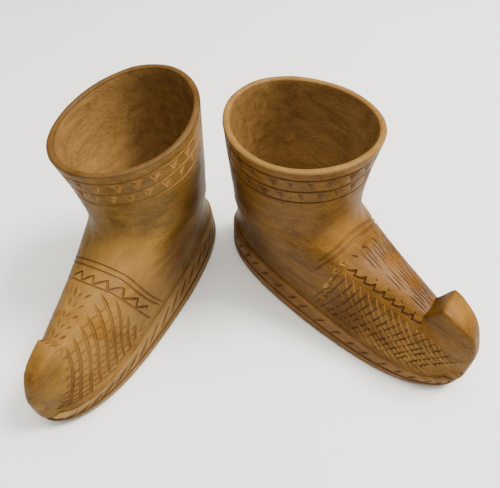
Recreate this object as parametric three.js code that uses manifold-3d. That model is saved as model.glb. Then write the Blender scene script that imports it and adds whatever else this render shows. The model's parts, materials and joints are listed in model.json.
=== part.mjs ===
// A pair of small hollow wooden boots: flared open shafts, broad carved feet and toes that
// curl up into a blunt horn. Each boot is a hollowed upper block glued on its own sole board.
// Millimetres, +Z up. In a boot's own frame +X runs from heel to toe, Y is across the foot,
// Z is the height over the ground and the origin is on the ground under the back of the heel.
import * as THREE from 'three';
import { ConvexGeometry } from 'three/addons/geometries/ConvexGeometry.js';
import { mergeVertices } from 'three/addons/utils/BufferGeometryUtils.js';
import Module from 'manifold-3d';

// Foot, measured at the seam between the sole board and the upper block
const footLength = 126;
const ballWidth = 31.5;
const waistWidth = 36.4;
const heelWidth = 30;
const seamHeelHeight = 15.5;
const seamToeHeight = 8.5;

// Vamp, the sloping top of the foot
const vampToeHeight = 25;
const vampHeight = 37.5;
const vampWidth = 25;
const instepHeight = 43.8;

// Ankle, where the shaft leaves the foot
const ankleLength = 60;
const ankleWidth = 44;
const ankleHeight = 48;
const heelCurve = 7.5;

// Shaft and its open rim
const rimLength = 62;
const rimWidth = 56;
const rimSag = 1.8;
const wall = 2.7;
const hollowFloor = 24;
const hollowToeWall = 12;

// Toe horn
const hornSetback = 15;
const hornNose = 3;

// Sole board
const soleLedge = 1;
const soleFlare = 3.5;
const soleBevel = 0.7;
const soleBevelHeight = 0.25;
const toeSpring = 4.5;
const toeSpringLength = 32;
const glueGap = 0.3;

// The two boots are carved by hand and differ a little. Turned out is from straight ahead, -Y.
const leftBoot = {
  turnOut: 41.4,
  rimFrontHeight: 86.5,
  rimBackHeight: 86.5,
  rimRiseAcross: 0,
  hornWidth: 14,
  hornHeight: 42.5,
};
const rightBoot = {
  turnOut: -27.8,
  rimFrontHeight: 85,
  rimBackHeight: 92,
  rimRiseAcross: 3,
  hornWidth: 8.5,
  hornHeight: 36.5,
};
const ankleSpacing = 65.3;
const leftAhead = 5.9;
const ankleStation = 40;

// Fineness of the faceted surfaces
const around = 40;
const rowsPerGuide = 3;
const lipRows = 3;
const hollowRows = 3;

const wasm = await Module();
wasm.setup();

// A ring is an egg in a plane that slants from back to front. Its half widths are given an
// eighth of a turn, a quarter turn and three eighths of a turn round from the front. It can rise
// from one side to the other, and its sides can sag below the plane.
function eggRing(ring) {
  const base = (ring.halves[0] + ring.halves[2]) / Math.SQRT2;
  const taper = ring.halves[0] - ring.halves[2];
  const square = base - ring.halves[1];
  const points = [];
  for (let step = 0; step < around; step += 1) {
    const turn = (2 * Math.PI * step) / around;
    const forward = Math.cos(turn);
    const side = Math.sin(turn);
    points.push(new THREE.Vector3(
      THREE.MathUtils.lerp(ring.back[0], ring.front[0], (1 + forward) / 2),
      side * (base + taper * forward + square * Math.cos(2 * turn)),
      THREE.MathUtils.lerp(ring.back[1], ring.front[1], (1 + forward) / 2)
        + (ring.across / 2) * side - ring.sag * side ** 2,
    ));
  }
  return points;
}

// Moves a ring out sideways in plan, or in where the distance is negative
function offsetRing(points, distance) {
  return points.map((point, index) => {
    const before = points[(index + around - 1) % around];
    const after = points[(index + 1) % around];
    const along = new THREE.Vector2(after.x - before.x, after.y - before.y).normalize();
    return new THREE.Vector3(point.x + along.y * distance, point.y - along.x * distance, point.z);
  });
}

function liftRing(points, lift) {
  return points.map((point) => new THREE.Vector3(point.x, point.y, point.z + lift(point)));
}

// Smooth rows through a list of guide rings
function smoothRows(guides, rows) {
  const columns = guides[0].map((_, index) => (
    new THREE.CatmullRomCurve3(guides.map((ring) => ring[index]), false, 'centripetal')
  ));
  const count = (guides.length - 1) * rows;
  const result = [];
  for (let row = 0; row <= count; row += 1) {
    result.push(columns.map((curve) => curve.getPoint(row / count)));
  }
  return result;
}

// A closed skin over stacked rings. Each end is closed by strips laid straight across the ring.
function skin(rings) {
  const positions = rings.flat().flatMap((point) => [point.x, point.y, point.z]);
  const faces = [];
  for (let row = 0; row < rings.length - 1; row += 1) {
    for (let step = 0; step < around; step += 1) {
      const next = (step + 1) % around;
      const low = row * around;
      const high = low + around;
      faces.push(low + step, low + next, high + next);
      faces.push(low + step, high + next, high + step);
    }
  }
  const top = (rings.length - 1) * around;
  for (let step = 0; step < around / 2; step += 1) {
    const mirror = (around - step) % around;
    const next = step + 1;
    const nextMirror = around - next;
    if (mirror !== step) {
      faces.push(step, mirror, next);
      faces.push(top + step, top + next, top + mirror);
    }
    if (nextMirror !== next) {
      faces.push(mirror, nextMirror, next);
      faces.push(top + mirror, top + next, top + nextMirror);
    }
  }
  const geometry = new THREE.BufferGeometry();
  geometry.setAttribute('position', new THREE.Float32BufferAttribute(positions, 3));
  geometry.setIndex(faces);
  return geometry;
}

function toSolid(geometry) {
  const bare = geometry.clone();
  bare.deleteAttribute('normal');
  bare.deleteAttribute('uv');
  const merged = mergeVertices(bare, 1e-4);
  return new wasm.Manifold(new wasm.Mesh({
    numProp: 3,
    vertProperties: new Float32Array(merged.attributes.position.array),
    triVerts: new Uint32Array(merged.index.array),
  }));
}

function toGeometry(solid) {
  const mesh = solid.getMesh();
  const geometry = new THREE.BufferGeometry();
  geometry.setAttribute('position', new THREE.BufferAttribute(mesh.vertProperties, 3));
  geometry.setIndex(new THREE.BufferAttribute(mesh.triVerts, 1));
  geometry.computeVertexNormals();
  return geometry;
}

// Guide rings of the outside, from the seam up over the foot to the rim
const ankleFront = heelCurve + ankleLength;
const rimBack = heelCurve + 1.5;
const heelBack = 2.5;
const seamGuide = eggRing({
  front: [footLength, seamToeHeight],
  back: [heelBack, seamHeelHeight],
  halves: [ballWidth / 2, waistWidth / 2, heelWidth / 2],
  sag: 0,
  across: 0,
});

function outsideGuides(make) {
  const frontRise = make.rimFrontHeight - ankleHeight;
  const backRise = make.rimBackHeight - ankleHeight;
  const upperGuides = [
    {
      front: [footLength + 0.5, vampToeHeight],
      back: [heelBack + 1, seamHeelHeight + 7],
      halves: [vampWidth * 0.42, waistWidth / 2, heelWidth * 0.485],
      sag: 0,
      across: 0,
    },
    {
      front: [THREE.MathUtils.lerp(ankleFront, footLength, 0.52), vampHeight],
      back: [heelBack + 2.5, THREE.MathUtils.lerp(seamHeelHeight, ankleHeight, 0.45)],
      halves: [vampWidth / 2, ankleWidth * 0.44, heelWidth * 0.49],
      sag: 0.5,
      across: 0,
    },
    {
      front: [THREE.MathUtils.lerp(ankleFront, footLength, 0.17), instepHeight],
      back: [heelCurve - 1.3, THREE.MathUtils.lerp(seamHeelHeight, ankleHeight, 0.69)],
      halves: [ankleWidth * 0.355, ankleWidth * 0.475, ankleWidth * 0.355],
      sag: 0,
      across: 0,
    },
    {
      front: [ankleFront + 0.8, ankleHeight + 4],
      back: [heelCurve, ankleHeight - 3],
      halves: [ankleWidth * 0.35, ankleWidth / 2, ankleWidth * 0.36],
      sag: 0.5,
      across: 0,
    },
    {
      front: [ankleFront, ankleHeight + frontRise * 0.52],
      back: [heelCurve + 1, ankleHeight + backRise * 0.35],
      halves: [rimWidth * 0.325, rimWidth * 0.445, rimWidth * 0.315],
      sag: 0.5,
      across: 0,
    },
    {
      front: [rimBack + rimLength, make.rimFrontHeight],
      back: [rimBack, make.rimBackHeight],
      halves: [rimWidth * 0.357, rimWidth / 2, rimWidth * 0.35],
      sag: rimSag,
      across: make.rimRiseAcross,
    },
  ];
  return [seamGuide, ...upperGuides.map(eggRing)];
}

// The block is solid below the hollow, so the skin runs over the rounded lip and back down
function upperBody(make) {
  const guides = outsideGuides(make);
  const outside = smoothRows(guides, rowsPerGuide);
  const [ankle, shaft, rim] = guides.slice(4);
  const lip = [];
  for (let row = 1; row < lipRows; row += 1) {
    const turn = (Math.PI * row) / lipRows;
    const inward = (wall / 2) * (1 - Math.cos(turn));
    const crown = (wall / 3) * Math.sin(turn);
    lip.push(liftRing(offsetRing(rim, -inward), () => crown));
  }
  const floorRing = eggRing({
    front: [ankleFront - hollowToeWall, hollowFloor + 9],
    back: [heelCurve + wall * 2.5, hollowFloor + 8],
    halves: [ankleWidth * 0.26, ankleWidth * 0.37, ankleWidth * 0.27],
    sag: 0,
    across: 0,
  });
  const floorCentre = new THREE.Vector3((heelCurve + ankleFront) / 2 - 3, 0, hollowFloor);
  const floorDish = floorRing.map((point) => (
    new THREE.Vector3().lerpVectors(point, floorCentre, 0.35).setZ(hollowFloor + 2.5)
  ));
  const inside = smoothRows([
    offsetRing(rim, -wall),
    offsetRing(shaft, -wall * 1.15),
    offsetRing(ankle, -wall * 1.5),
    floorRing,
    floorDish,
  ], hollowRows);
  const floor = floorDish.map((point) => (
    new THREE.Vector3().lerpVectors(point, floorCentre, 0.5).setZ(hollowFloor)
  ));
  return skin([...outside, ...lip, ...inside, floor]);
}

// The horn: a straight edge across the top, a front that bows forward and narrows to the nose,
// and steep sides. Its foot spreads into the toe of the block.
function toeHorn(make) {
  const nose = footLength + hornNose;
  const tip = footLength - hornSetback;
  const half = make.hornWidth / 2;
  const drop = make.hornHeight - seamToeHeight;
  const profile = [
    [tip, half, make.hornHeight],
    [tip + 5, half * 0.94, make.hornHeight - drop * 0.05],
    [nose - 6, half * 0.72, make.hornHeight - drop * 0.17],
    [nose - 1.5, half * 0.42, make.hornHeight - drop * 0.38],
    [nose, half * 0.3, make.hornHeight - drop * 0.58],
    [nose - 0.5, half * 0.4, make.hornHeight - drop * 0.82],
    [footLength - 0.5, half * 0.4, seamToeHeight + 0.3],
    [footLength - 7, ballWidth * 0.24, seamToeHeight + 3],
    [tip - 1, ballWidth * 0.31, seamToeHeight + 7],
    [tip - 8, half * 0.8, vampToeHeight + 2],
  ];
  const corners = profile.flatMap(([x, y, z]) => [
    new THREE.Vector3(x, y, z),
    new THREE.Vector3(x, -y, z),
  ]);
  return new ConvexGeometry(corners);
}

function upperGeometry(make) {
  return toGeometry(toSolid(upperBody(make)).add(toSolid(toeHorn(make))));
}

// The sole board: a flat tread that springs up at the toe, a bevel, a flared side and a ledge
const treadGuide = eggRing({
  front: [footLength + soleFlare * 0.6, 0],
  back: [heelBack - soleFlare * 0.5, 0],
  halves: [ballWidth / 2 + soleFlare * 0.35, waistWidth / 2 + soleFlare, heelWidth / 2 + soleFlare * 0.65],
  sag: 0,
  across: 0,
});

function soleGeometry() {
  const springStart = footLength - toeSpringLength;
  const spring = (point) => toeSpring * Math.max(0, (point.x - springStart) / toeSpringLength) ** 2;
  const thickness = (point) => (
    THREE.MathUtils.mapLinear(point.x, heelBack, footLength, seamHeelHeight, seamToeHeight)
      - glueGap - spring(point)
  );
  const level = (points, share) => liftRing(
    points.map((point) => point.clone().setZ(0)),
    (point) => spring(point) + thickness(point) * share,
  );
  return skin([
    level(offsetRing(treadGuide, -soleBevel), 0),
    level(treadGuide, soleBevelHeight),
    level(offsetRing(seamGuide, soleLedge), 1),
  ]);
}

const upperWood = { color: 0xa9753c, roughness: 0.42, metalness: 0 };
const soleWood = { color: 0x94602f, roughness: 0.48, metalness: 0 };

function boot(side, make, ankleX, ankleY) {
  const placed = new THREE.Group();
  placed.position.set(ankleX, ankleY, 0);
  placed.rotation.z = THREE.MathUtils.degToRad(make.turnOut - 90);
  const upper = new THREE.Mesh(upperGeometry(make), new THREE.MeshStandardMaterial(upperWood));
  upper.name = `${side}_upper`;
  upper.position.x = -ankleStation;
  const sole = new THREE.Mesh(soleGeometry(), new THREE.MeshStandardMaterial(soleWood));
  sole.name = `${side}_sole`;
  sole.position.x = -ankleStation;
  placed.add(upper, sole);
  return placed;
}

const pair = new THREE.Group();
pair.add(
  boot('left', leftBoot, ankleSpacing / 2, -leftAhead / 2),
  boot('right', rightBoot, -ankleSpacing / 2, leftAhead / 2),
);

// The pair stands with the middle of its footprint over the origin
pair.updateMatrixWorld(true);
const middle = new THREE.Box3().setFromObject(pair, true).getCenter(new THREE.Vector3());
pair.position.set(-middle.x, -middle.y, 0);

const group = new THREE.Group();
group.add(pair);
export default group;
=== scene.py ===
import json
import math
import random

import bmesh
import bpy
from mathutils import Matrix, Vector
from mathutils.bvhtree import BVHTree

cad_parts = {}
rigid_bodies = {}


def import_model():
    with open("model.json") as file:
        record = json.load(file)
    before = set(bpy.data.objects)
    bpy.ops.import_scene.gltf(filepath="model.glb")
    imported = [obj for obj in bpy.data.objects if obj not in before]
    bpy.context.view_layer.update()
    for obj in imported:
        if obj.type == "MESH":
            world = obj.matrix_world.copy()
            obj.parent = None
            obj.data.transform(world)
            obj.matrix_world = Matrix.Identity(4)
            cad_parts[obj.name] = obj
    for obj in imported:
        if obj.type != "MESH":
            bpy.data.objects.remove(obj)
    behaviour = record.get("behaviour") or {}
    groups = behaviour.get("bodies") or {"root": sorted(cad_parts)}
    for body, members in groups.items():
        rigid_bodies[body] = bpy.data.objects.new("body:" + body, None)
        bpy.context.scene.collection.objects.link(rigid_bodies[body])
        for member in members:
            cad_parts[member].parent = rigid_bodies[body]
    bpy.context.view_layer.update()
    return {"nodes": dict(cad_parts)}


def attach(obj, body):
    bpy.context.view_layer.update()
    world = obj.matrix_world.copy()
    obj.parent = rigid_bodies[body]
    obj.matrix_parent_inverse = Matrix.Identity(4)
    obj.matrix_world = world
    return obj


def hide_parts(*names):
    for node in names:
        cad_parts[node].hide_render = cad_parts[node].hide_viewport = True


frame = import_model()
print("frame loaded:", ", ".join(frame["nodes"]))

# All boot sizes are millimetres in the boot's own frame: x from heel to toe, y across, z up.
# The frame's sole boards say where each boot stands, how it is turned and how long it really is.
footShape = {
    "length": 126, "heelBack": 2.5, "ballWidth": 31.5, "waistWidth": 36.4, "heelWidth": 30,
    "seamHeel": 15.5, "seamToe": 8.5, "vampToe": 25, "vampHeight": 37.5, "vampWidth": 25, "instep": 43.8,
    "ankleLength": 60, "ankleWidth": 44, "ankleHeight": 48, "heelCurve": 7.5,
    "rimLength": 62, "rimWidth": 56, "rimSag": 1.8, "wall": 2.7, "hollowFloor": 24, "hollowToeWall": 12,
    "hornSetback": 15, "hornNose": 3,
}
leftBoot = {
    "side": "left", "inner": -1, "rimFront": 86.5, "rimBack": 86.5, "rimAcross": 0,
    "hornWidth": 14, "hornHeight": 43.6, "hornSkew": 2.4, "hornTuck": 0.2, "hornRubbed": 28,
    "solePale": (0.25, 0.12, 0.036, 1), "soleDeep": (0.08, 0.035, 0.009, 1), "slantReach": 0.016,
    "lipPale": (0.22, 0.115, 0.03, 1), "lipDeep": (0.12, 0.06, 0.016, 1),
    "rimFinish": "cut", "rimSeed": 11, "soleSeed": 31,
}
rightBoot = {
    "side": "right", "inner": 1, "rimFront": 85, "rimBack": 92, "rimAcross": 3,
    "hornWidth": 8.5, "hornHeight": 37.4, "hornSkew": 0.5, "hornTuck": 0, "hornRubbed": 14,
    "solePale": (0.27, 0.155, 0.052, 1), "soleDeep": (0.09, 0.046, 0.014, 1), "slantReach": 0.032,
    "lipPale": (0.11, 0.055, 0.014, 1), "lipDeep": (0.06, 0.028, 0.007, 1),
    "rimFinish": "notch", "rimSeed": 23, "soleSeed": 37,
}
soleShape = {
    "flare": 3.5, "toeFlare": 2.6, "ballFlare": 0.5, "toeReach": 2.4, "straight": 0.25,
    "ledge": 1, "ledgeEnd": 95, "ledgeFade": 25, "bevel": 0.7, "bevelHeight": 0.25,
    "spring": 4.5, "springLength": 32, "gap": 0.3,
}
ankleFront = footShape["heelCurve"] + footShape["ankleLength"]
rimBack = footShape["heelCurve"] + 1.5


def clearSelection():
    if bpy.context.object and bpy.context.object.mode != "OBJECT":
        bpy.ops.object.mode_set(mode="OBJECT")
    bpy.ops.object.select_all(action="DESELECT")


def choose(thing):
    clearSelection()
    thing.select_set(True)
    bpy.context.view_layer.objects.active = thing


def applyModifier(thing, kind, **settings):
    choose(thing)
    added = thing.modifiers.new(kind.title(), kind)
    for key, value in settings.items():
        setattr(added, key, value)
    bpy.ops.object.modifier_apply(modifier=added.name)


def blendOf(low, high, share):
    return low + (high - low) * share


def held(value):
    return min(1, max(0, value))


def seamHeight(x):
    # the seam between block and sole runs down from the heel to the toe
    along = (x - footShape["heelBack"]) / (footShape["length"] - footShape["heelBack"])
    return blendOf(footShape["seamHeel"], footShape["seamToe"], along)


def eggRing(ring, count):
    # half widths are given an eighth, a quarter and three eighths of a turn from the front
    base = (ring["halves"][0] + ring["halves"][2]) / math.sqrt(2)
    taper = ring["halves"][0] - ring["halves"][2]
    square = base - ring["halves"][1]
    points = []
    for step in range(count):
        turn = 2 * math.pi * step / count
        ahead, across = math.cos(turn), math.sin(turn)
        points.append(Vector((
            blendOf(ring["back"][0], ring["front"][0], (1 + ahead) / 2),
            across * (base + taper * ahead + square * math.cos(2 * turn)),
            blendOf(ring["back"][1], ring["front"][1], (1 + ahead) / 2)
            + ring.get("across", 0) / 2 * across - ring.get("sag", 0) * across ** 2,
        )))
    return points


def offsetRing(points, distance):
    moved = []
    for index, point in enumerate(points):
        along = (points[(index + 1) % len(points)] - points[index - 1]).xy.normalized()
        moved.append(Vector((point.x + along.y * distance, point.y - along.x * distance, point.z)))
    return moved


def curveThrough(before, start, end, after, share):
    # one span of a centripetal Catmull-Rom curve
    spans = [max((b - a).length, 1e-6) ** 0.5 for a, b in ((before, start), (start, end), (end, after))]
    leave = (start - before) / spans[0] - (end - before) / (spans[0] + spans[1]) + (end - start) / spans[1]
    arrive = (end - start) / spans[1] - (after - start) / (spans[1] + spans[2]) + (after - end) / spans[2]
    leave *= spans[1]
    arrive *= spans[1]
    rise = 3 * (end - start) - 2 * leave - arrive
    turn = 2 * (start - end) + leave + arrive
    return start + leave * share + rise * share ** 2 + turn * share ** 3


def rowsThrough(guides, perGuide):
    padded = [
        [2 * a - b for a, b in zip(guides[0], guides[1])], *guides,
        [2 * a - b for a, b in zip(guides[-1], guides[-2])],
    ]
    rows = []
    for span in range(1, len(padded) - 2):
        for step in range(perGuide):
            corners = zip(*padded[span - 1:span + 3])
            rows.append([curveThrough(*four, step / perGuide) for four in corners])
    rows.append(guides[-1])
    return rows


def growSkin(name, rows, partOfRow):
    # a circle is added, then extruded row by row, and each new row is set in its place
    clearSelection()
    sides = len(rows[0])
    bpy.ops.mesh.primitive_circle_add(vertices=sides, radius=1)
    skin = bpy.context.object
    skin.name = name
    skin.data.name = name
    bpy.ops.object.mode_set(mode="EDIT")
    bpy.ops.mesh.select_mode(type="VERT")
    bpy.ops.mesh.select_all(action="SELECT")
    mesh = bmesh.from_edit_mesh(skin.data)
    mesh.verts.ensure_lookup_table()
    order = {index: index for index in range(sides)}
    for index, point in enumerate(rows[0]):
        mesh.verts[index].co = point
    for row in rows[1:]:
        bpy.ops.mesh.extrude_edges_move()
        mesh = bmesh.from_edit_mesh(skin.data)
        mesh.verts.ensure_lookup_table()
        fresh = {}
        for vertex in mesh.verts:
            if vertex.select:
                others = [edge.other_vert(vertex) for edge in vertex.link_edges]
                below = next(other for other in others if not other.select)
                fresh[vertex.index] = order[below.index]
                vertex.co = row[order[below.index]]
        order = fresh
    bmesh.update_edit_mesh(skin.data)
    bpy.ops.mesh.edge_face_add()
    bpy.ops.mesh.select_all(action="DESELECT")
    mesh = bmesh.from_edit_mesh(skin.data)
    mesh.verts.ensure_lookup_table()
    for index in range(sides):
        mesh.verts[index].select = True
    mesh.select_flush(True)
    bpy.ops.mesh.edge_face_add()
    mesh = bmesh.from_edit_mesh(skin.data)
    for face in mesh.faces:
        row = min(vertex.index // sides for vertex in face.verts)
        face.material_index = partOfRow(row)
    bmesh.update_edit_mesh(skin.data)
    bpy.ops.mesh.select_all(action="SELECT")
    bpy.ops.mesh.normals_make_consistent(inside=False)
    bpy.ops.object.mode_set(mode="OBJECT")
    return skin


def measureBoot(boot):
    # the long way of the sole board is the foot's x, and the board is thickest at the heel
    corners = [vertex.co.copy() for vertex in frame["nodes"][boot["side"] + "_sole"].data.vertices]
    middle = sum(corners, Vector()) / len(corners)
    spread = [point - middle for point in corners]
    alongX = sum(p.x * p.x for p in spread)
    alongY = sum(p.y * p.y for p in spread)
    together = sum(p.x * p.y for p in spread)
    turn = 0.5 * math.atan2(2 * together, alongX - alongY)
    heel = max(spread, key=lambda p: p.z)
    if heel.x * math.cos(turn) + heel.y * math.sin(turn) > 0:
        turn += math.pi
    ahead = Vector((math.cos(turn), math.sin(turn), 0))
    across = Vector((-math.sin(turn), math.cos(turn), 0))
    reach = [p.dot(ahead) for p in corners]
    width = [p.dot(across) for p in corners]
    heelEnd = footShape["heelBack"] - soleShape["flare"] * 0.5
    toeEnd = footShape["length"] + soleShape["flare"] * 0.6
    scale = (max(reach) - min(reach)) / (toeEnd - heelEnd)
    origin = ahead * (min(reach) - heelEnd * scale) + across * (max(width) + min(width)) / 2
    boot["turn"] = turn
    boot["origin"] = origin
    boot["place"] = Matrix.Translation(origin) @ Matrix.Rotation(turn, 4, "Z") @ Matrix.Scale(scale, 4)


for boot in (leftBoot, rightBoot):
    measureBoot(boot)
    print(boot["side"], "boot turned", round(math.degrees(boot["turn"]), 2), "at", boot["origin"][:])

upperLook = {
    "around": 132, "rowsPerGuide": 8, "lipRows": 8, "hollowRows": 6,
    "wobble": 0.55, "wobbleSize": 17, "wobbleFade": 5,
}


def upperGuides(boot, count):
    f = footShape
    frontRise = boot["rimFront"] - f["ankleHeight"]
    backRise = boot["rimBack"] - f["ankleHeight"]
    return [eggRing(ring, count) for ring in (
        {
            "front": (f["length"], f["seamToe"]), "back": (f["heelBack"], f["seamHeel"]),
            "halves": (f["ballWidth"] / 2, f["waistWidth"] / 2, f["heelWidth"] / 2),
        },
        {
            "front": (f["length"] + 0.5, f["vampToe"]), "back": (f["heelBack"] + 1, f["seamHeel"] + 7),
            "halves": (f["vampWidth"] * 0.42, f["waistWidth"] / 2, f["heelWidth"] * 0.485),
        },
        {
            "front": (blendOf(ankleFront, f["length"], 0.52), f["vampHeight"]),
            "back": (f["heelBack"] + 2.5, blendOf(f["seamHeel"], f["ankleHeight"], 0.45)),
            "halves": (f["vampWidth"] / 2, f["ankleWidth"] * 0.44, f["heelWidth"] * 0.49), "sag": 0.5,
        },
        {
            "front": (blendOf(ankleFront, f["length"], 0.17), f["instep"]),
            "back": (f["heelCurve"] - 1.3, blendOf(f["seamHeel"], f["ankleHeight"], 0.69)),
            "halves": (f["ankleWidth"] * 0.355, f["ankleWidth"] * 0.475, f["ankleWidth"] * 0.355),
        },
        {
            "front": (ankleFront + 0.8, f["ankleHeight"] + 4),
            "back": (f["heelCurve"], f["ankleHeight"] - 3),
            "halves": (f["ankleWidth"] * 0.35, f["ankleWidth"] / 2, f["ankleWidth"] * 0.36), "sag": 0.5,
        },
        {
            "front": (ankleFront, f["ankleHeight"] + frontRise * 0.52),
            "back": (f["heelCurve"] + 1, f["ankleHeight"] + backRise * 0.35),
            "halves": (f["rimWidth"] * 0.325, f["rimWidth"] * 0.445, f["rimWidth"] * 0.315), "sag": 0.5,
        },
        {
            "front": (rimBack + f["rimLength"], boot["rimFront"]), "back": (rimBack, boot["rimBack"]),
            "halves": (f["rimWidth"] * 0.357, f["rimWidth"] / 2, f["rimWidth"] * 0.35),
            "sag": f["rimSag"], "across": boot["rimAcross"],
        },
    )]


def makeUpper(boot):
    f = footShape
    around = upperLook["around"]
    guides = upperGuides(boot, around)
    outside = rowsThrough(guides, upperLook["rowsPerGuide"])
    rim = guides[6]
    lip = []
    for row in range(1, upperLook["lipRows"]):
        turn = math.pi * row / upperLook["lipRows"]
        crown = Vector((0, 0, f["wall"] / 3 * math.sin(turn)))
        lip.append([p + crown for p in offsetRing(rim, -f["wall"] / 2 * (1 - math.cos(turn)))])
    floorRing = eggRing({
        "front": (ankleFront - f["hollowToeWall"], f["hollowFloor"] + 9),
        "back": (f["heelCurve"] + f["wall"] * 2.5, f["hollowFloor"] + 8),
        "halves": (f["ankleWidth"] * 0.26, f["ankleWidth"] * 0.37, f["ankleWidth"] * 0.27),
    }, around)
    centre = Vector(((f["heelCurve"] + ankleFront) / 2 - 3, 0, f["hollowFloor"]))
    dish = [p.lerp(centre, 0.35) for p in floorRing]
    for point in dish:
        point.z = f["hollowFloor"] + 2.5
    inside = rowsThrough([
        offsetRing(rim, -f["wall"]),
        offsetRing(guides[5], -f["wall"] * 1.15),
        offsetRing(guides[4], -f["wall"] * 1.5),
        floorRing,
        dish,
    ], upperLook["hollowRows"])
    for share in (0.3, 0.6, 0.85):
        inside.append([Vector((*p.lerp(centre, share).xy, blendOf(p.z, f["hollowFloor"], share ** 0.5)))
                       for p in dish])
    lipEnd = len(outside) + len(lip)
    return growSkin(
        boot["side"] + "Upper", [*outside, *lip, *inside],
        lambda row: 1 if row >= lipEnd else 2 if row >= len(outside) - 1 else 0
    )


def makeHorn(boot):
    # the corners of the horn, hulled, remeshed and rubbed smooth
    f = footShape
    nose = f["length"] + f["hornNose"]
    tip = f["length"] - f["hornSetback"]
    half = boot["hornWidth"] / 2
    top = boot["hornHeight"]
    drop = top - f["seamToe"]
    profile = [
        (tip, half, top), (tip + 5, half * 0.94, top - drop * 0.05),
        (nose - 6, half * 0.72, top - drop * 0.17), (nose - 1.5, half * 0.42, top - drop * 0.38),
        (nose + 0.4, half * 0.34, top - drop * 0.58), (nose - 0.2, half * 0.45, top - drop * 0.82),
        (f["length"] + 3.2, half * 0.55, f["seamToe"] + 0.3),
        (f["length"] - 6, f["ballWidth"] * 0.25, f["seamToe"] + 0.3),
        (tip - 1, f["ballWidth"] * 0.22, f["seamToe"] + 7), (tip - 8, half * 0.8, f["vampToe"] + 2),
    ]
    padded = [profile[0], *profile, profile[-1]]
    fine = []
    for span in range(1, len(padded) - 2):
        for step in range(4):
            fine.append(curveThrough(*[Vector(corner) for corner in padded[span - 1:span + 3]], step / 4))
    fine.append(Vector(profile[-1]))
    clearSelection()
    bpy.ops.mesh.primitive_cube_add(size=1, location=(tip, 0, f["vampToe"]))
    horn = bpy.context.object
    horn.name = boot["side"] + "Horn"
    bpy.ops.object.transform_apply(location=True)
    bpy.ops.object.mode_set(mode="EDIT")
    mesh = bmesh.from_edit_mesh(horn.data)
    for x, y, z in fine:
        lean = held((z - 22) / 14)  # only the top of the horn is skewed and tucked
        near = -boot["inner"] * y
        mesh.verts.new((x, near, z))
        mesh.verts.new((x + boot["hornSkew"] * lean, -near * (1 - boot["hornTuck"] * lean), z))
    bmesh.update_edit_mesh(horn.data)
    bpy.ops.mesh.select_all(action="SELECT")
    bpy.ops.mesh.convex_hull()
    bpy.ops.object.mode_set(mode="OBJECT")
    applyModifier(horn, "REMESH", mode="VOXEL", voxel_size=0.6)
    applyModifier(horn, "SMOOTH", factor=0.5, iterations=boot["hornRubbed"])
    return horn


def surfaceTree(piece):
    return BVHTree.FromObject(piece, bpy.context.evaluated_depsgraph_get())


# how high the knife rides, in radii: along a stroke and where it leaves the wood
knife = {"ride": 0.25, "endRide": 0.7, "endRadius": 0.45}


def cutterFrom(name, strokes, radius):
    # each stroke is a list of touch points; its ends rise out of the wood, as a knife does
    path = bpy.data.curves.new(name, "CURVE")
    path.dimensions = "3D"
    path.bevel_depth = radius
    path.bevel_resolution = 1
    path.use_fill_caps = True
    for touches, closed in strokes:
        touches = [touch for touch in touches if touch[0] is not None]
        if len(touches) < 3:
            continue
        spline = path.splines.new("POLY")
        spline.points.add(len(touches) - 1)
        spline.use_cyclic_u = closed
        last = len(touches) - 1
        for index, (place, out) in enumerate(touches):
            rise = radius * knife["ride"]
            if not closed and index in (0, last):
                rise = radius * knife["endRide"]
            spline.points[index].co = (*(place + out * rise), 1)
            if not closed:
                fromEnd = min(1, min(index, last - index) / 2)
                spline.points[index].radius = blendOf(knife["endRadius"], 1, fromEnd)
    cutter = bpy.data.objects.new(name, path)
    bpy.context.collection.objects.link(cutter)
    choose(cutter)
    bpy.ops.object.convert(target="MESH")
    bpy.ops.object.mode_set(mode="EDIT")
    bpy.ops.mesh.select_all(action="SELECT")
    bpy.ops.mesh.remove_doubles(threshold=0.001)
    bpy.ops.mesh.normals_make_consistent(inside=False)
    bpy.ops.object.mode_set(mode="OBJECT")
    return bpy.context.object


def notchesFrom(name, places, width, depth):
    # one three-sided pyramid, copied to every place and joined; its point is set to one side
    clearSelection()
    bpy.ops.mesh.primitive_cone_add(
        vertices=3, radius1=width * 1.15, depth=depth * 2, rotation=(0, 0, -math.pi / 2)
    )
    bpy.ops.object.transform_apply(rotation=True)
    first = bpy.context.object
    copies = []
    for place, out, down, lean, size in places:
        out = out.normalized()
        sideways = down.cross(out).normalized()
        down = out.cross(sideways)
        pose = Matrix((
            (down.x, sideways.x, -out.x, place.x),
            (down.y, sideways.y, -out.y, place.y),
            (down.z, sideways.z, -out.z, place.z),
            (0, 0, 0, 1),
        ))
        copy = bpy.data.objects.new(name, first.data.copy())
        bpy.context.collection.objects.link(copy)
        tip = max(copy.data.vertices, key=lambda v: v.co.z)
        tip.co.x += width * 0.12
        tip.co.y += lean * width
        copy.data.transform(pose @ Matrix.Diagonal((size, size, size, 1)))
        copies.append(copy)
    bpy.data.objects.remove(first)
    choose(copies[0])
    for copy in copies:
        copy.select_set(True)
    bpy.ops.object.join()
    bpy.ops.object.mode_set(mode="EDIT")
    bpy.ops.mesh.select_all(action="SELECT")
    bpy.ops.mesh.normals_make_consistent(inside=False)
    bpy.ops.object.mode_set(mode="OBJECT")
    return bpy.context.object


def carve(piece, cutter, finish):
    cutter.data.materials.clear()
    cutter.data.materials.append(finish)
    before = len(piece.data.polygons)
    applyModifier(piece, "BOOLEAN", operation="DIFFERENCE", solver="MANIFOLD", object=cutter,
                  material_mode="TRANSFER")
    print("  carved", cutter.name, before, "->", len(piece.data.polygons))
    bpy.data.objects.remove(cutter)


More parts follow.
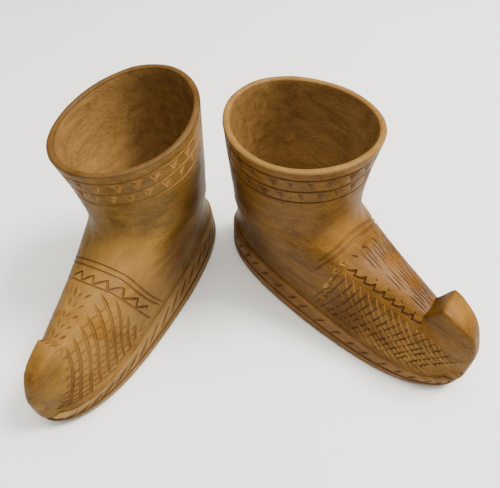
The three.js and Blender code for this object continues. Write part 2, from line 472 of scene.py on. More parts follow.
def fillSockets(tree, node, values):
    # each socket is given a value, or joined to another socket
    for socket, value in values.items():
        target = node.inputs[socket]
        if isinstance(value, bpy.types.NodeSocket):
            tree.links.new(value, target)
        else:
            target.default_value = value
    return node


def nodeIn(tree, kind, values=None, **settings):
    node = tree.nodes.new("ShaderNode" + kind)
    for key, value in settings.items():
        setattr(node, key, value)
    return fillSockets(tree, node, values or {})


def placedGroup(tree, group, values):
    return fillSockets(tree, nodeIn(tree, "Group", node_tree=group), values)


def maths(tree, kind, *values):
    # one sum, with its result ready to join on
    return nodeIn(tree, "Math", dict(enumerate(values)), operation=kind).outputs[0]


def mixColours(tree, share, first, second, blend="MIX"):
    node = nodeIn(tree, "Mix", {0: share, 6: first, 7: second}, data_type="RGBA", blend_type=blend)
    return node.outputs[2]


def spread(tree, value, low, high, newLow=0.0, newHigh=1.0):
    return nodeIn(tree, "MapRange", {0: value, 1: low, 2: high, 3: newLow, 4: newHigh}).outputs[0]


def startGroup(name, inputs, outputs):
    group = bpy.data.node_groups.new(name, "ShaderNodeTree")
    for label, kind, value in inputs:
        socket = group.interface.new_socket(label, in_out="INPUT", socket_type="NodeSocket" + kind)
        if value is not None:
            socket.default_value = value
    for label, kind in outputs:
        group.interface.new_socket(label, in_out="OUTPUT", socket_type="NodeSocket" + kind)
    return group, group.nodes.new("NodeGroupInput"), group.nodes.new("NodeGroupOutput")


def grainGroup():
    # long fibres down the length of the block, with slow bands of paler and deeper wood
    group, given, put = startGroup(
        "woodGrain",
        [("Vector", "Vector", None), ("Pale", "Color", (1, 1, 1, 1)), ("Deep", "Color", (0, 0, 0, 1)),
         ("Fibre Size", "Float", 1.0)],
        [("Color", "Color"), ("Height", "Float")],
    )
    stretched = nodeIn(group, "Mapping", {"Vector": given.outputs["Vector"], "Scale": (0.055, 0.42, 0.42)})
    bands = nodeIn(group, "TexNoise", {
        "Vector": stretched.outputs[0], "Scale": 0.55, "Detail": 3.0, "Roughness": 0.5, "Distortion": 0.6,
    })
    fibreWay = nodeIn(group, "Mapping", {"Vector": given.outputs["Vector"], "Scale": (0.09, 1.3, 1.3)})
    fibre = nodeIn(group, "TexNoise", {
        "Vector": fibreWay.outputs[0], "Scale": given.outputs["Fibre Size"], "Detail": 5.0,
        "Roughness": 0.62,
    })
    poreWay = nodeIn(group, "Mapping", {"Vector": given.outputs["Vector"], "Scale": (0.35, 2.6, 2.6)})
    pores = nodeIn(group, "TexNoise", {"Vector": poreWay.outputs[0], "Scale": 1.3, "Detail": 2.0})
    poreDark = spread(group, pores.outputs[0], 0.62, 0.75)
    bandShare = spread(group, bands.outputs[0], 0.3, 0.7)
    fibreShare = spread(group, fibre.outputs[0], 0.32, 0.68)
    halfBands = maths(group, "MULTIPLY", bandShare, 0.5)
    halfFibres = maths(group, "MULTIPLY", fibreShare, 0.5)
    total = maths(group, "ADD", halfBands, halfFibres)
    colour = mixColours(group, total, given.outputs["Pale"], given.outputs["Deep"])
    colour = mixColours(group, maths(group, "MULTIPLY", poreDark, 0.3), colour, given.outputs["Deep"])
    group.links.new(colour, put.inputs["Color"])
    group.links.new(maths(group, "SUBTRACT", fibreShare, poreDark), put.inputs["Height"])
    return group


def blotchGroup():
    # where the varnish lay thick and went amber
    group, given, put = startGroup(
        "varnishBlotch",
        [("Vector", "Vector", None), ("Size", "Float", 0.04),
         ("Low", "Float", 0.45), ("High", "Float", 0.62)],
        [("Mask", "Float")],
    )
    cloud = nodeIn(group, "TexNoise", {
        "Vector": given.outputs["Vector"], "Scale": given.outputs["Size"], "Detail": 4.0, "Roughness": 0.55,
        "Distortion": 0.8,
    })
    mask = nodeIn(group, "MapRange", {
        0: cloud.outputs[0], 1: given.outputs["Low"], 2: given.outputs["High"],
    }, interpolation_type="SMOOTHSTEP")
    group.links.new(mask.outputs[0], put.inputs["Mask"])
    return group


def dirtAndShadeGroup():
    # painted shade along with old polish and dust: darker where one face meets another, in grooves, notches
    # and corners, from an ambient occlusion mask
    group, given, put = startGroup("cornerDirtAndShade", [("Reach", "Float", 0.0015)], [("Mask", "Float")])
    closeness = nodeIn(group, "AmbientOcclusion", {"Distance": given.outputs["Reach"]},
                       samples=6, only_local=True)
    mask = spread(group, closeness.outputs["AO"], 0.85, 0.35)
    group.links.new(mask, put.inputs["Mask"])
    return group


grainOfWood = grainGroup()
varnishBlotch = blotchGroup()
cornerDirtAndShade = dirtAndShadeGroup()


def bootVector(tree, boot):
    # the object's own coordinates, turned into the boot's millimetres
    coordinate = nodeIn(tree, "TexCoord")
    scale = 1 / boot["place"].to_scale()[0]
    inverse = boot["place"].inverted()
    mapping = nodeIn(tree, "Mapping", {
        "Vector": coordinate.outputs["Object"], "Location": inverse.to_translation(),
        "Rotation": (0, 0, -boot["turn"]), "Scale": (scale, scale, scale),
    })
    return mapping.outputs[0]


def srgb(red, green, blue):
    def linear(part):
        part /= 255
        return part / 12.92 if part <= 0.04045 else ((part + 0.055) / 1.055) ** 2.4
    return (linear(red), linear(green), linear(blue), 1)


def raggedReach(tree, vector, unevenness, patch, raggedness):
    # how far it is from the middle of a patch (x, y, z, radius), made uneven so that its edge frays
    reach = nodeIn(tree, "VectorMath", {0: vector, 1: patch[:3]}, operation="DISTANCE")
    return maths(tree, "MULTIPLY_ADD", unevenness, patch[3] * raggedness, reach.outputs["Value"])


def woodFinish(name, boot, looks):
    finish = bpy.data.materials.new(name)
    finish.use_nodes = True
    tree = finish.node_tree
    shader = tree.nodes["Principled BSDF"]
    vector = bootVector(tree, boot)
    grain = placedGroup(tree, grainOfWood, {
        "Vector": vector, "Pale": looks["pale"], "Deep": looks["deep"],
        "Fibre Size": looks["fibre"],
    })
    blotch = placedGroup(tree, varnishBlotch, {
        "Vector": vector, "Size": looks["blotchSize"],
        "Low": looks["blotchLow"], "High": looks["blotchHigh"],
    })
    pooled = blotch.outputs["Mask"]
    unevenness = nodeIn(tree, "TexNoise", {"Vector": vector, "Scale": 0.09, "Detail": 5.0})
    for patch in looks["pools"]:
        ragged = raggedReach(tree, vector, unevenness.outputs[0], patch, looks["poolFray"])
        pool = spread(tree, ragged, patch[3] * looks["poolEdge"], patch[3])
        pooled = maths(tree, "MAXIMUM", pooled, pool)
    colour = grain.outputs["Color"]
    wornAndLit = 0.0
    # pale patches: partly wood rubbed pale, partly a painted highlight where the gloss catches the light
    for patch in looks["rubbedAndLit"]:
        ragged = raggedReach(tree, vector, unevenness.outputs[0], patch, looks["rubFray"])
        rubbedAndLit = spread(tree, ragged, patch[3] * looks["rubEdge"], patch[3] * 0.9, 0, looks["rubShare"])
        wornAndLit = maths(tree, "MAXIMUM", wornAndLit, rubbedAndLit)
    if looks["rubbedAndLit"]:
        streaky = maths(tree, "MULTIPLY_ADD", grain.outputs["Height"], 0.5, 0.5)
        colour = mixColours(tree, maths(tree, "MULTIPLY", wornAndLit, streaky), colour, looks["wornAndLit"])
    colour = mixColours(tree, pooled, colour, looks["amber"], "MULTIPLY")
    # painted shade along with dirt: the colour goes darker in grooves and corners, by the ambient occlusion
    # mask
    dirtAndShade = placedGroup(tree, cornerDirtAndShade, {"Reach": looks["dirtAndShadeReach"]})
    dirtAndShadeShare = maths(tree, "MULTIPLY", dirtAndShade.outputs["Mask"], looks["dirtAndShade"])
    colour = mixColours(tree, dirtAndShadeShare, colour, looks["dirtAndShadeColour"])
    tree.links.new(colour, shader.inputs["Base Color"])
    rough = nodeIn(tree, "TexNoise", {"Vector": vector, "Scale": 0.18, "Detail": 4.0})
    roughness = spread(tree, rough.outputs[0], 0.35, 0.65, looks["rough"] - 0.06, looks["rough"] + 0.08)
    tree.links.new(roughness, shader.inputs["Roughness"])
    bump = nodeIn(tree, "Bump", {
        "Height": grain.outputs["Height"], "Strength": looks["bump"], "Distance": looks["bumpDepth"],
    })
    tree.links.new(bump.outputs[0], shader.inputs["Normal"])
    shader.inputs["Coat Weight"].default_value = looks["coat"]
    shader.inputs["Coat Roughness"].default_value = 0.28
    shader.inputs["IOR"].default_value = 1.45
    shader.inputs["Specular IOR Level"].default_value = 0.07
    return finish


plainWood = {
    "fibre": 1.3, "blotchSize": 0.035, "blotchLow": 0.52, "blotchHigh": 0.8,
    "poolFray": 1.1, "poolEdge": 1.75, "rubFray": 1.4, "rubEdge": 1.9, "rubShare": 0.75,
    # the dirt share and colour paint shade into grooves and corners, along with dirt
    "dirtAndShade": 0.75, "dirtAndShadeReach": 0.0022, "dirtAndShadeColour": srgb(46, 27, 10),
    "rough": 0.45, "coat": 0.035, "bump": 0.4, "bumpDepth": 0.00015,
}
woodColours = {
    "left": {
        "pale": srgb(126, 88, 36), "deep": srgb(74, 46, 13), "amber": (0.6, 0.49, 0.2, 1),
        "wornAndLit": srgb(140, 100, 44),
        "pools": [
            (16, -24, 52, 22), (60, 12, 66, 13), (82, -17, 20, 12), (30, -24, 25, 16), (93, 15, 32, 27),
        ],
        "rubbedAndLit": [(66, -6, 50, 9), (90, 2, 38, 9), (118, 2, 42, 7)],
    },
    "right": {
        "pale": srgb(128, 94, 43), "deep": srgb(76, 53, 20), "amber": (0.68, 0.56, 0.26, 1),
        "wornAndLit": srgb(142, 105, 53),
        "pools": [(34, 26, 55, 18), (50, 22, 34, 13), (60, -20, 60, 12)],
        # the ankle patch (72, 8, 42) is a painted highlight; the vamp and toe patches are wood rubbed pale
        "rubbedAndLit": [(96, 8, 34, 20), (72, 8, 42, 15), (112, 4, 34, 6)],
    },
}


def bootFinishes(boot):
    own = {
        # the dirt share in each finish sets how much painted shade, along with dirt, goes into its grooves
        # and corners
        "outer": ("carvedWood", {}),
        "hollow": ("hollowWood", {
            "pale": srgb(146, 110, 60), "deep": srgb(92, 64, 31), "fibre": 1.4, "pools": [], "rubbedAndLit": [],
            "rough": 0.6, "coat": 0.0, "bump": 0.5, "dirtAndShade": 0.2,
        }),
        "lip": ("lipWood", {
            "pale": boot["lipPale"], "deep": boot["lipDeep"], "rubbedAndLit": [], "dirtAndShade": 0.2,
        }),
        "cut": ("knifeCut", {
            "pale": srgb(114, 78, 36), "deep": srgb(74, 46, 17), "rough": 0.5, "coat": 0.1, "dirtAndShade": 0.55,
        }),
        "paleCut": ("paleCut", {
            "pale": srgb(162, 120, 62), "deep": srgb(124, 86, 40), "rough": 0.5, "coat": 0.1, "dirtAndShade": 0.4,
        }),
        "notch": ("notchCut", {
            "pale": srgb(160, 118, 64), "deep": srgb(118, 80, 38), "rough": 0.5, "coat": 0.0, "dirtAndShade": 0.7,
        }),
        "darkCut": ("darkCut", {
            "pale": srgb(92, 60, 28), "deep": srgb(60, 36, 14), "rough": 0.55, "coat": 0.05, "dirtAndShade": 0.7,
        }),
        "sole": ("soleWood", {
            "pale": boot["solePale"], "deep": boot["soleDeep"], "fibre": 1.8, "pools": [], "rough": 0.46,
        }),
    }
    side = boot["side"]
    return {
        part: woodFinish(name + side.title(), boot, {**plainWood, **woodColours[side], **looks})
        for part, (name, looks) in own.items()
    }


# leans count in degrees: leanReach is how many millimetres one degree is worth on the flank
strokeLook = {"middleHeight": 12, "seamMargin": 1, "leanReach": 0.32}


def footTouch(tree, boot, x, lean):
    # lean is the angle in degrees from straight up, towards the inner side of the foot
    turn = math.radians(lean) * boot["inner"]
    middle = Vector((x, 0, strokeLook["middleHeight"]))
    place, out = tree.ray_cast(middle, Vector((0, math.sin(turn), math.cos(turn))))[:2]
    along = (x - footShape["heelBack"]) / footShape["length"]
    lowest = blendOf(footShape["seamHeel"], footShape["seamToe"], along) + strokeLook["seamMargin"]
    if place is None or place.z < lowest:
        return None, None
    return place, out


def footStroke(tree, boot, start, end, chance, bow=0.3, spacing=1.8, arch=0):
    # a stroke between two (x, lean) places, with a little bow and shake in it
    reach = math.hypot(end[0] - start[0], (end[1] - start[1]) * strokeLook["leanReach"])
    steps = max(3, round(reach / spacing))
    bend = arch + chance.uniform(-bow, bow)
    touches = []
    for step in range(steps + 1):
        share = step / steps
        x = blendOf(start[0], end[0], share) + bend * math.sin(math.pi * share)
        touches.append(footTouch(tree, boot, x, blendOf(start[1], end[1], share)))
    return touches, False


def rimTouch(tree, ring, share, drop):
    # a place a given drop below the rim, share of the way round from the toe side
    spot = share * len(ring)
    index = int(spot) % len(ring)
    after = ring[(index + 1) % len(ring)]
    place = ring[index].lerp(after, spot % 1)
    along = (after - ring[index]).xy.normalized()
    out = Vector((along.y, -along.x, 0))
    place = place - Vector((0, 0, drop))
    return tree.ray_cast(place + out * 12, -out)[:2]


rimCarving = {
    "ringSteps": 240, "lines": (3.2, 9.4, 15.8), "lineSteps": 150, "lineRadius": 0.52,
    "notchRows": (5.3, 11.6), "notches": 25, "notchWidth": 5.6, "notchDepth": 0.95,
}


def carveRim(upper, boot, finishes):
    c = rimCarving
    chance = random.Random(boot["rimSeed"])
    ring = upperGuides(boot, c["ringSteps"])[6]
    tree = surfaceTree(upper)
    lines = []
    for drop in c["lines"]:
        phases = [chance.uniform(0, 6.28) for _ in range(3)]
        line = []
        for step in range(c["lineSteps"]):
            turn = 2 * math.pi * step / c["lineSteps"]
            shake = 0.28 * math.sin(2 * turn + phases[0]) + 0.16 * math.sin(5 * turn + phases[1])
            depth = drop + shake + 0.05 * math.sin(17 * turn + phases[2])
            line.append(rimTouch(tree, ring, step / c["lineSteps"], depth))
        lines.append((line, True))
    carve(upper, cutterFrom("rimLines", lines, c["lineRadius"]), finishes[boot["rimFinish"]])
    tree = surfaceTree(upper)
    places = []
    for row, drop in enumerate(c["notchRows"]):
        for index in range(c["notches"]):
            share = (index + row * 0.5 + chance.uniform(-0.1, 0.1)) / c["notches"]
            place, out = rimTouch(tree, ring, share % 1, drop + chance.uniform(-0.3, 0.3))
            if place is not None:
                lean, size = chance.uniform(0.1, 0.35), chance.uniform(0.72, 1.02)
                places.append((place, out, Vector((0, 0, -1)), lean, size))
    notches = notchesFrom("rimNotches", places, c["notchWidth"], c["notchDepth"])
    carve(upper, notches, finishes[boot["rimFinish"]])


# the line round the ankle, as (x, lean) spots
ankleCarving = {
    "left": [
        (57, 62), (63, 38), (67, 27), (69, 17), (69.5, 9),
        (70, 1), (70, -6), (69, -20), (66, -34), (60, -52),
    ],
    "right": [(67, 84), (72.5, 52), (75.8, 28), (76.8, 8), (76.6, -12), (73.6, -44), (67, -84)],
    "gap": 2.1, "radius": 0.62, "perSpan": 5,
}


def throughSpots(spots, perSpan):
    # a smooth run through listed (x, lean) spots
    points = [Vector((x, lean, 0)) for x, lean in spots]
    padded = [2 * points[0] - points[1], *points, 2 * points[-1] - points[-2]]
    run = []
    for span in range(1, len(padded) - 2):
        for step in range(perSpan):
            run.append(curveThrough(*padded[span - 1:span + 3], step / perSpan).xy)
    run.append(points[-1].xy)
    return run


def carveRun(upper, boot, finish, name, radius, runs):
    # lines drawn through runs of (x, lean) spots
    tree = surfaceTree(upper)
    strokes = [([footTouch(tree, boot, x, lean) for x, lean in run], False) for run in runs]
    carve(upper, cutterFrom(name, strokes, radius), finish)


def carveAnkle(upper, boot, finishes):
    c = ankleCarving
    runs = []
    for ahead in (0, c["gap"]):
        spots = [(x + ahead, lean) for x, lean in c[boot["side"]]]
        runs.append(throughSpots(spots, c["perSpan"]))
    carveRun(upper, boot, finishes["cut"], "ankleLines", c["radius"], runs)


def stairRun(start, end, steps, width, flat=0.62):
    # stairs: a long tread along the run, then a short riser across it
    run = []
    pitch = (end[0] - start[0]) / steps
    for step in range(steps):
        x = start[0] + pitch * step
        lean = blendOf(start[1], end[1], step / steps)
        run.extend([(x, lean + width), (x + pitch * flat * 0.5, lean + width * 0.75)])
        run.extend([(x + pitch * flat, lean + width * 0.4), (x + pitch * 0.8, lean - width * 0.4)])
        run.append((x + pitch * 0.92, lean - width))
    return run


def carveNotches(upper, boot, finish, name, spots, size, down, lean=0.0):
    # notches of one (width, depth), cut at (x, lean) spots
    tree = surfaceTree(upper)
    touches = [footTouch(tree, boot, x, angle) for x, angle in spots]
    places = [(place, out, Vector(down), lean, 1.0) for place, out in touches if place is not None]
    carve(upper, notchesFrom(name, places, *size), finish)


def carveStrokes(upper, boot, finish, name, radius, ends, seed, shake=0.4, **shape):
    # one family of strokes that don't cross each other, each with a little shake at its ends
    chance = random.Random(seed)
    tree = surfaceTree(upper)
    strokes = []
    for start, end in ends:
        start = (start[0] + chance.uniform(-shake, shake), start[1])
        strokes.append(footStroke(tree, boot, start, end, chance, **shape))
    carve(upper, cutterFrom(name, strokes, radius), finish)


# strokes too short for the usual bow, shake and spacing
shortStrokes = {"bow": 0.1, "shake": 0.1, "spacing": 0.9}


def sideHatching(first, last, rows, step, topLean):
    # close lines down the outer flank, three end to end in every row
    ends = []
    span = (last - first) / 3
    for row in range(rows):
        lean = topLean - step * row
        shift = 1.8 * math.sin(row * 2.4)
        for third in range(3):
            start = first + span * third + shift
            ends.append(((start, lean - 1.2), (start + span - 1.6, lean + 1.0)))
    return ends


leftVamp = {
    "border": 76, "borderLean": 25, "ankleSlope": 3.3,
    "longRows": 19, "longStart": 56, "longStep": 3.4, "longForward": 27, "longLean": 98, "longRadius": 0.52,
    "crossRows": 17, "crossStart": 62, "crossStep": 3.2, "crossForward": 13, "crossLean": 92,
    "crossShort": 66, "crossRadius": 0.46,
    "stairStart": (75.5, 21), "stairEnd": (109, 19.5), "stairs": 8, "stairWidth": 2.3, "stairRadius": 0.65,
    "chips": 7, "chipSize": (3.2, 0.9),
    "nicks": [((74.5, -6), (77, -10)), ((74.8, 4.5), (77, 1)), ((74.5, 14), (77, 10.5))], "nickRadius": 0.6,
    "side": (76, 110, 30, 3.1, 8), "sideRadius": 0.52,
    "dots": (87, 92.5, 98.5, 104.5), "dotLean": 15, "dotSize": (1.0, 0.8),
}


def carveVampLeft(upper, boot, finishes):
    v = leftVamp
    longEnds = []
    for row in range(v["longRows"]):
        x = v["longStart"] + v["longStep"] * row  # where the stroke would start at the panel's border
        fromBorder = max(0, v["border"] - x) * v["ankleSlope"]
        topLean = v["borderLean"] + fromBorder
        top = max(x, v["border"] - (topLean - v["borderLean"]) * 0.1)
        longEnds.append(((top, topLean), (x + v["longForward"], v["longLean"])))
    carveStrokes(upper, boot, finishes["paleCut"], "flankLong", v["longRadius"], longEnds, seed=5)
    crossEnds = []
    for row in range(v["crossRows"]):
        x = v["crossStart"] + v["crossStep"] * row
        low = v["crossLean"] - max(0, v["crossShort"] - x) * 5
        bottom = x + (v["crossLean"] - low) * 0.2
        crossEnds.append(((bottom, low), (x + v["crossForward"], v["borderLean"])))
    carveStrokes(upper, boot, finishes["cut"], "flankCross", v["crossRadius"], crossEnds, seed=6, bow=0.6)
    stairs = stairRun(v["stairStart"], v["stairEnd"], v["stairs"], v["stairWidth"])
    carveRun(upper, boot, finishes["darkCut"], "stairs", v["stairRadius"], [stairs])
    chips = [(73.6 - 0.5 * index, 21 + 7.5 * index) for index in range(v["chips"])]
    carveNotches(upper, boot, finishes["paleCut"], "ankleChips", chips, v["chipSize"], (1, 0, -0.2), 0.15)
    carveStrokes(upper, boot, finishes["darkCut"], "nicks", v["nickRadius"], v["nicks"], seed=8,
                 **shortStrokes)
    sideEnds = sideHatching(*v["side"])
    carveStrokes(upper, boot, finishes["cut"], "sideLines", v["sideRadius"], sideEnds, seed=9)
    dots = [(x, v["dotLean"]) for x in v["dots"]]
    carveNotches(upper, boot, finishes["darkCut"], "dots", dots, v["dotSize"], (1, 0, 0))


rightVamp = {
    "columns": 10, "start": 68.5, "pitch": 4.4, "forward": 15, "arch": 1.8, "topLean": 12, "lowLean": 96,
    "border": 84.5, "ankleSlope": 4.2, "longRadius": 0.85,
    "rungRows": 9, "rungLean": 20, "rungStep": 8.4, "rungBack": 86.5, "rungLow": 92, "rungRadius": 0.5,
    "base": [(83, -30), (84.8, -14), (85.3, 4), (84.3, 22), (82.8, 34), (80, 56), (76.8, 84)],
    "baseRadius": 0.6, "valleys": [-18, -6.5, 4.5, 17, 30, 46, 65], "teethHeight": 3.8, "teethLean": 0.72,
    "teethRadius": 0.7,
    "dashRows": 6, "dashStart": 88.5, "dashStep": 4.1, "dashRadius": 0.7,
    "dashes": [((0, 8.5), (2.6, 3.5)), ((-0.8, -8), (3, -4)), ((0.4, 0.5), (3, -1.5))],
    "borderEnds": ((86.5, 11), (112, 9)), "borderRadius": 0.6,
    "side": (86, 111, 24, 3.7, -11), "sideRadius": 0.6,
}


def columnSpot(start, lean):
    # the columns run forward and a little bowed, from the panel down to the seam
    v = rightVamp
    share = (lean - v["topLean"]) / (v["lowLean"] - v["topLean"])
    return start + v["forward"] * share + v["arch"] * math.sin(math.pi * share), lean


def teethRun(baseRun):
    # from valley to peak to the next valley; the peaks point back to the ankle
    def baseAt(lean):
        return min(baseRun, key=lambda spot: abs(spot[1] - lean))[0]

    v = rightVamp
    teeth = []
    for low, high in zip(v["valleys"], v["valleys"][1:]):
        peak = blendOf(low, high, v["teethLean"])
        valleySpot, peakSpot = (baseAt(low) - 0.6, low), (baseAt(peak) - v["teethHeight"], peak)
        nextSpot = (baseAt(high) - 0.6, high)
        for near, far in ((valleySpot, peakSpot), (peakSpot, nextSpot)):
            for share in (0, 0.34, 0.67):
                teeth.append(tuple(blendOf(a, b, share) for a, b in zip(near, far)))
    return teeth


def carveVampRight(upper, boot, finishes):
    v = rightVamp
    starts = [v["start"] + v["pitch"] * column for column in range(v["columns"])]
    longEnds = []
    for start in starts:
        lean = v["topLean"] + max(0, v["border"] - start) * v["ankleSlope"]
        longEnds.append((columnSpot(start, lean), columnSpot(start, v["lowLean"])))
    carveStrokes(upper, boot, finishes["cut"], "flankLong", v["longRadius"], longEnds, seed=7,
                 bow=0.15, shake=0.25, arch=v["arch"])
    for half in (0, 1):
        rungs = []
        for column in range(half, v["columns"], 2):
            for row in range(v["rungRows"]):
                lean = v["rungLean"] + v["rungStep"] * row + 2.5 * math.sin(column * 1.9)
                x = columnSpot(starts[column], lean)[0]
                if lean < v["rungLow"] and x > v["rungBack"] - 0.1 * (lean - 25):
                    rungs.append(((x + 0.3, lean + 1.6), (x + v["pitch"] - 0.5, lean - 1.6)))
        carveStrokes(upper, boot, finishes["cut"], "rungs", v["rungRadius"], rungs, seed=17 + half,
                     **{**shortStrokes, "shake": 0.2})
    baseRun = throughSpots(v["base"], 8)
    carveRun(upper, boot, finishes["darkCut"], "teeth", v["teethRadius"], [teethRun(baseRun)])
    carveRun(upper, boot, finishes["cut"], "teethBase", v["baseRadius"], [baseRun])
    dashes = []
    for row in range(v["dashRows"]):
        x = v["dashStart"] + v["dashStep"] * row
        for start, end in v["dashes"]:
            dashes.append(((x + start[0], start[1]), (x + end[0], end[1])))
    carveStrokes(upper, boot, finishes["darkCut"], "dashes", v["dashRadius"], dashes, seed=18,
                 **{**shortStrokes, "shake": 0.5})
    border = [v["borderEnds"]]
    carveStrokes(upper, boot, finishes["paleCut"], "panelBorder", v["borderRadius"], border, seed=21)
    sideEnds = sideHatching(*v["side"])
    carveStrokes(upper, boot, finishes["cut"], "sideLines", v["sideRadius"], sideEnds, seed=19)


def soleLevel(points, share):
    # the ring is lifted by its share of the way from the sprung tread up to the seam
    s = soleShape
    placed = []
    for point in points:
        sprung = max(0, (point.x - footShape["length"] + s["springLength"]) / s["springLength"])
        spring = s["spring"] * sprung ** 2
        top = seamHeight(point.x) - s["gap"]
        placed.append(Vector((point.x, point.y, spring + (top - spring) * share)))
    return placed


def sideShare(share):
    # the lowest part of the side stands straight, and above it the side leans in
    return max(0, share - soleShape["straight"]) / (1 - soleShape["straight"])


def soleRings(count):
    s, f = soleShape, footShape
    tread = eggRing({
        "front": (f["length"] + s["toeFlare"], 0), "back": (f["heelBack"] - s["flare"] * 0.5, 0),
        "halves": (f["ballWidth"] / 2 + s["ballFlare"], f["waistWidth"] / 2 + s["flare"],
                   f["heelWidth"] / 2 + s["flare"] * 0.65),
    }, count)
    seam = upperGuides(leftBoot, count)[0]
    top = []
    for here, there in zip(seam, offsetRing(seam, s["ledge"])):
        toeShare = held((here.x - s["ledgeEnd"]) / s["ledgeFade"])  # the ledge dies away at the toe
        top.append(there.lerp(here, toeShare) + Vector((s["toeReach"] * toeShare ** 2, 0, 0)))
    return tread, top


soleLook = {
    "around": 160, "rows": 10, "lineShare": 0.42, "lineSteps": 200, "lineRadius": 0.75,
    "slants": 46, "slantLow": 0.5, "slantHigh": 0.93, "slantSteps": 4, "slantRadius": 0.8,
}


def makeSole(boot, finishes):
    around, bevel = soleLook["around"], soleShape["bevel"]
    tread, top = soleRings(around)
    rows = [soleLevel(offsetRing(tread, -bevel), 0), soleLevel(offsetRing(tread, -bevel * 0.3), 0.07)]
    for step in range(soleLook["rows"]):
        share = blendOf(soleShape["bevelHeight"] * 0.6, 0.95, step / (soleLook["rows"] - 1))
        rows.append(soleLevel([a.lerp(b, sideShare(share)) for a, b in zip(tread, top)], share))
    rows.append(soleLevel(offsetRing(top, -0.35), 1))
    sole = growSkin(boot["side"] + "Sole", rows, lambda row: 0)
    sole.data.materials.append(finishes["sole"])
    tree = surfaceTree(sole)

    def sideTouch(turnShare, heightShare):
        spot = turnShare * around
        index = int(spot) % around
        ends = (index, (index + 1) % around)
        here, there = (tread[end].lerp(top[end], sideShare(heightShare)) for end in ends)
        place = soleLevel([here.lerp(there, spot % 1)], heightShare)[0]
        return tree.find_nearest(place)[:2]

    chance = random.Random(boot["soleSeed"])
    line = []
    for step in range(soleLook["lineSteps"]):
        height = soleLook["lineShare"] + 0.03 * math.sin(step / 11)
        line.append(sideTouch(step / soleLook["lineSteps"], height))
    carve(sole, cutterFrom("soleLine", [(line, True)], soleLook["lineRadius"]), finishes["cut"])
    tree = surfaceTree(sole)
    slants = []
    steps = soleLook["slantSteps"]
    for index in range(soleLook["slants"]):
        start = (index + chance.uniform(-0.12, 0.12)) / soleLook["slants"]
        lean = boot["inner"] * (boot["slantReach"] if start < 0.5 else -boot["slantReach"])
        touches = []
        for step in range(steps + 1):
            height = blendOf(soleLook["slantLow"], soleLook["slantHigh"], step / steps)
            touches.append(sideTouch((start + lean * step / steps) % 1, height))
        slants.append((touches, False))
    carve(sole, cutterFrom("soleSlants", slants, soleLook["slantRadius"]), finishes["cut"])
    return sole


def addWobbleGroup(upper):
    # the wobble fades out at the seam, where the block sits on the sole
    group = upper.vertex_groups.new(name="wobble")
    for vertex in upper.data.vertices:
        weight = held((vertex.co.z - seamHeight(vertex.co.x)) / upperLook["wobbleFade"])
        group.add([vertex.index], weight, "REPLACE")


def buildUpper(boot, finishes):
    upper = makeUpper(boot)
    for label in ("outer", "hollow", "lip"):
        upper.data.materials.append(finishes[label])
    addWobbleGroup(upper)
    cloud = bpy.data.textures.new(boot["side"] + "KnifeMarks", "CLOUDS")
    cloud.noise_scale = upperLook["wobbleSize"]
    cloud.noise_depth = 1
    applyModifier(upper, "DISPLACE", texture=cloud, texture_coords="LOCAL", strength=upperLook["wobble"],
                  mid_level=0.5, vertex_group="wobble")
    horn = makeHorn(boot)
    horn.data.materials.append(finishes["outer"])
    applyModifier(upper, "BOOLEAN", operation="UNION", solver="MANIFOLD", object=horn)
    bpy.data.objects.remove(horn)
    print(boot["side"], "block and horn:", len(upper.data.polygons), "faces")
    carveRim(upper, boot, finishes)
    carveAnkle(upper, boot, finishes)
    if boot["side"] == "left":
        carveVampLeft(upper, boot, finishes)
    else:
        carveVampRight(upper, boot, finishes)
    return upper


def dropCrumbs(piece):
    # crossing cuts can leave loose crumbs; whatever doesn't join the top of the block goes
    choose(piece)
    bpy.ops.object.mode_set(mode="EDIT")
    bpy.ops.mesh.select_all(action="DESELECT")
    mesh = bmesh.from_edit_mesh(piece.data)
    highest = max(mesh.verts, key=lambda vertex: vertex.co.z)
    highest.select = True
    bmesh.update_edit_mesh(piece.data)
    bpy.ops.mesh.select_linked()
    bpy.ops.mesh.select_all(action="INVERT")
    bpy.ops.mesh.delete(type="VERT")
    bpy.ops.object.mode_set(mode="OBJECT")


def finishPiece(piece, boot, node):
    dropCrumbs(piece)
    choose(piece)
    piece.vertex_groups.clear()
    piece.data.transform(boot["place"])
    bpy.ops.object.shade_smooth_by_angle(angle=math.radians(32))
    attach(piece, boot["side"] + "_boot")
    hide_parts(node)
    print(piece.name, "finished with", len(piece.data.polygons), "faces")


for boot in (leftBoot, rightBoot):
    finishes = bootFinishes(boot)
    finishPiece(buildUpper(boot, finishes), boot, boot["side"] + "_upper")
    finishPiece(makeSole(boot, finishes), boot, boot["side"] + "_sole")


stageLook = {
    "floorSize": 3.0, "pale": srgb(234, 233, 224), "deep": srgb(228, 227, 219),
    "cloudScale": 7.0, "weaveScale": 900.0,
}


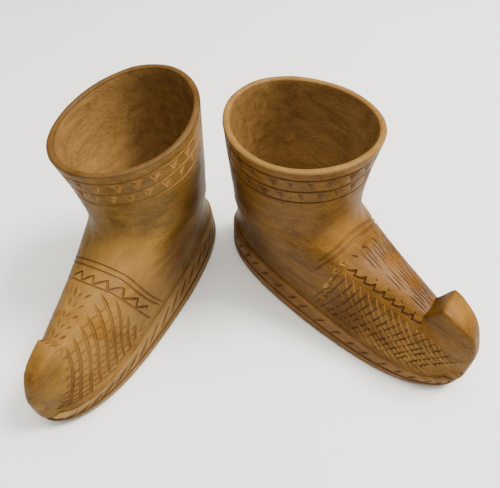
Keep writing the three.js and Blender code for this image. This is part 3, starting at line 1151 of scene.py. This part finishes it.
def layFloor():
    clearSelection()
    bpy.ops.mesh.primitive_plane_add(size=stageLook["floorSize"])
    floor = bpy.context.object
    floor.name = "floor"
    paper = bpy.data.materials.new("paleCloth")
    paper.use_nodes = True
    tree = paper.node_tree
    shader = tree.nodes["Principled BSDF"]
    place = nodeIn(tree, "TexCoord").outputs["Object"]
    weave = nodeIn(tree, "TexNoise", {"Vector": place, "Scale": stageLook["weaveScale"], "Detail": 2.0})
    cloud = nodeIn(tree, "TexNoise", {"Vector": place, "Scale": stageLook["cloudScale"], "Detail": 2.0})
    colour = mixColours(tree, cloud.outputs[0], stageLook["pale"], stageLook["deep"])
    tree.links.new(colour, shader.inputs["Base Color"])
    shader.inputs["Roughness"].default_value = 0.85
    bump = nodeIn(tree, "Bump", {"Height": weave.outputs[0], "Strength": 0.15, "Distance": 0.0003})
    tree.links.new(bump.outputs[0], shader.inputs["Normal"])
    floor.data.materials.append(paper)


def softLight(name, place, aim, size, power, colour):
    lamp = bpy.data.lights.new(name, "AREA")
    lamp.shape = "RECTANGLE"
    lamp.size, lamp.size_y = size
    lamp.energy = power
    lamp.color = colour
    holder = bpy.data.objects.new(name, lamp)
    bpy.context.collection.objects.link(holder)
    holder.location = place
    holder.rotation_euler = (Vector(aim) - Vector(place)).to_track_quat("-Z", "Y").to_euler()


def lightRoom():
    softLight("windowLight", (0.6, 0.02, 0.95), (0, 0, 0.03), (0.32, 0.32), 23, (1.0, 0.985, 0.95))
    softLight("ceilingLight", (0.1, -0.02, 1.3), (0, 0, 0), (1.6, 1.4), 45, (1.0, 0.99, 0.97))
    world = bpy.context.scene.world or bpy.data.worlds.new("room")
    bpy.context.scene.world = world
    world.use_nodes = True
    world.node_tree.nodes["Background"].inputs["Color"].default_value = (0.9, 0.93, 0.96, 1)
    world.node_tree.nodes["Background"].inputs["Strength"].default_value = 0.08


cameraLook = {"place": (0.0036, -0.1304, 0.1915), "down": 49.88, "roll": -3.82, "lens": 34.63}


def setCamera():
    lens = bpy.data.cameras.new("camera")
    lens.lens = cameraLook["lens"]
    lens.sensor_width = 36
    lens.clip_start = 0.01
    camera = bpy.data.objects.new("camera", lens)
    bpy.context.collection.objects.link(camera)
    tilt = Matrix.Rotation(math.radians(90 - cameraLook["down"]), 4, "X")
    roll = Matrix.Rotation(math.radians(cameraLook["roll"]), 4, "Z")
    camera.matrix_world = Matrix.Translation(cameraLook["place"]) @ tilt @ roll
    bpy.context.scene.camera = camera


layFloor()
lightRoom()
setCamera()
print("floor, lights and camera set")
